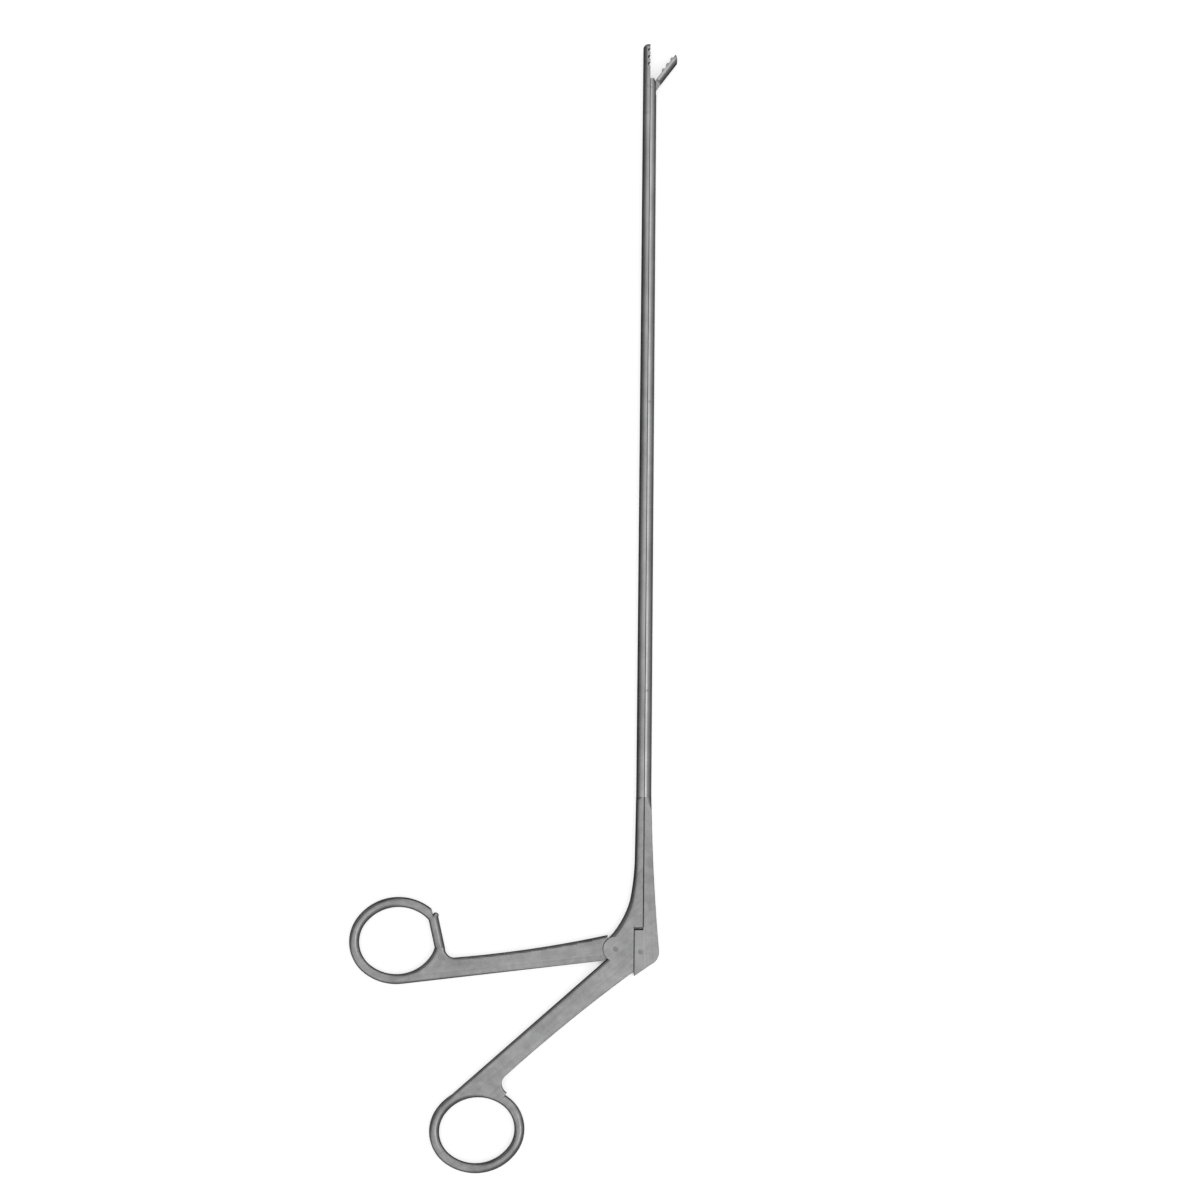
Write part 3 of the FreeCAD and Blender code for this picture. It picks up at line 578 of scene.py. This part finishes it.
# Floor, room and lamp.
studio = {
    "floorSize": 14.0, "floorDrop": 0.00005, "floorColour": (0.6, 0.6, 0.6), "floorRoughness": 0.9,
    # slotReach, slotDark and slotClear: painted shade in the lock's narrow slots
    "floorLift": 0.62, "slotReach": 0.003, "slotDark": 0.2, "slotClear": 0.45,
    # the next line: the floor's colour in the steel's reflections, a painted dark reflection
    "darkReflectionColour": (0.03, 0.03, 0.03), "darkReflectionShare": 0.72, "darkReflectionExtra": 0.2,
    "darkReflectionSide": 0.0106, "darkReflectionFrom": 0.012, "darkReflectionTo": 0.03,
    "lightWay": (0.8, -0.6, 0.0),
}
bpy.ops.mesh.primitive_plane_add(size=studio["floorSize"], location=(0.0, 0.0, -studio["floorDrop"]))
floor = bpy.context.active_object
floor.name = "floor"
floorPaint = bpy.data.materials.new("paleFloor")
floorPaint.use_nodes = True
tree = floorPaint.node_tree
shader = tree.nodes["Principled BSDF"]
shader.inputs["Roughness"].default_value = studio["floorRoughness"]
shader.inputs["Specular IOR Level"].default_value = 0.0
shader.inputs["Emission Color"].default_value = (1.0, 1.0, 1.0, 1.0)
path = addNode(tree, "ShaderNodeLightPath")
where = addNode(tree, "ShaderNodeTexCoord")
split = addNode(tree, "ShaderNodeSeparateXYZ")
join(tree, where, "Object", split, 0)
# painted dark reflection: the floor is painted dark only where the steel reflects it, darker still to the left
# of the shaft
darkReflection = remap(tree, split.outputs["Y"], studio["darkReflectionFrom"], studio["darkReflectionTo"], 0.0, studio["darkReflectionExtra"])
darkReflection = mathNode(tree, "MULTIPLY", darkReflection, mathNode(tree, "LESS_THAN", split.outputs["X"], studio["darkReflectionSide"]))
darkReflection = mathNode(tree, "ADD", darkReflection, studio["darkReflectionShare"])
darkReflection = mathNode(tree, "MULTIPLY", darkReflection, path.outputs["Is Glossy Ray"])
floorTone = addNode(tree, "ShaderNodeMix", {"data_type": "RGBA"})
floorTone.inputs["A"].default_value = studio["floorColour"] + (1.0,)
floorTone.inputs["B"].default_value = studio["darkReflectionColour"] + (1.0,)
tree.links.new(darkReflection, floorTone.inputs["Factor"])
join(tree, floorTone, "Result", shader, "Base Color")
# the camera sees a white table, with painted shade down in the narrow slots of the lock, where ambient
# occlusion takes the white lift away
seen = mathNode(tree, "ADD", path.outputs["Is Camera Ray"], path.outputs["Is Transmission Ray"])
shade = addNode(tree, "ShaderNodeAmbientOcclusion", {"samples": 8}, {"Distance": studio["slotReach"]})
clear = remap(tree, shade.outputs["AO"], studio["slotDark"], studio["slotClear"], 0.0, studio["floorLift"])
lift = mathNode(tree, "MULTIPLY", seen, clear)
tree.links.new(lift, shader.inputs["Emission Strength"])
floor.data.materials.append(floorPaint)

world = bpy.data.worlds.new("studioRoom")
bpy.context.scene.world = world
world.use_nodes = True
tree = world.node_tree
background = tree.nodes["Background"]
place = addNode(tree, "ShaderNodeTexCoord")
toLight = addNode(tree, "ShaderNodeVectorMath", {"operation": "DOT_PRODUCT"})
toLight.inputs[1].default_value = studio["lightWay"]
join(tree, place, "Generated", toLight, 0)
room = addNode(tree, "ShaderNodeValToRGB")
# how bright the room is from the side away from the lamp, -1, to the lamp's side, 1
stops = [
    (-1.0, 0.55), (-0.9, 0.30), (-0.80, 0.10), (-0.76, 0.10), (-0.66, 0.7), (-0.4, 1.05), (0.0, 1.0),
    (0.28, 1.12), (0.48, 1.0), (0.6, 0.5), (1.0, 0.4)]
while len(room.color_ramp.elements) < len(stops):
    room.color_ramp.elements.new(0.5)
for element, (side, level) in zip(room.color_ramp.elements, stops):
    element.position = side / 2 + 0.5
    element.color = (level, level, level, 1.0)
tree.links.new(remap(tree, toLight.outputs["Value"], -1.0, 1.0, 0.0, 1.0), room.inputs[0])
join(tree, room, 0, background, "Color")

panel = {"place": (1.15, -0.4, 2.0), "target": (0.0, 0.13, 0.0), "width": 1.1, "power": 5.0}
lampData = bpy.data.lights.new("rightPanel", "AREA")
lampData.shape = "SQUARE"
lampData.size = panel["width"]
lampData.energy = panel["power"]
lamp = bpy.data.objects.new("rightPanel", lampData)
lamp.location = panel["place"]
lamp.rotation_euler = (Vector(panel["target"]) - Vector(panel["place"])).to_track_quat("-Z", "Y").to_euler()
bpy.context.scene.collection.objects.link(lamp)
print("studio ready")

# Camera over the resting forceps.
view = {
    "frameWidth": 0.474, "lens": 150.0, "sensor": 36.0,
    "middleOfView": (-0.00733, 0.13764), "lean": 0.485, "midHeight": 0.003,
}
lensData = bpy.data.cameras.new("overheadCamera")
lensData.type = "PERSP"
lensData.sensor_width = view["sensor"]
lensData.lens = view["lens"]
camera = bpy.data.objects.new("overheadCamera", lensData)
distance = view["frameWidth"] * view["lens"] / lensData.sensor_width
camera.location = (view["middleOfView"][0], view["middleOfView"][1], view["midHeight"] + distance)
camera.rotation_euler = (0.0, 0.0, math.radians(view["lean"]))
bpy.context.scene.collection.objects.link(camera)
bpy.context.scene.camera = camera
bpy.context.scene.view_settings.view_transform = "Standard"
print("camera", round(distance, 3), "m over the forceps")
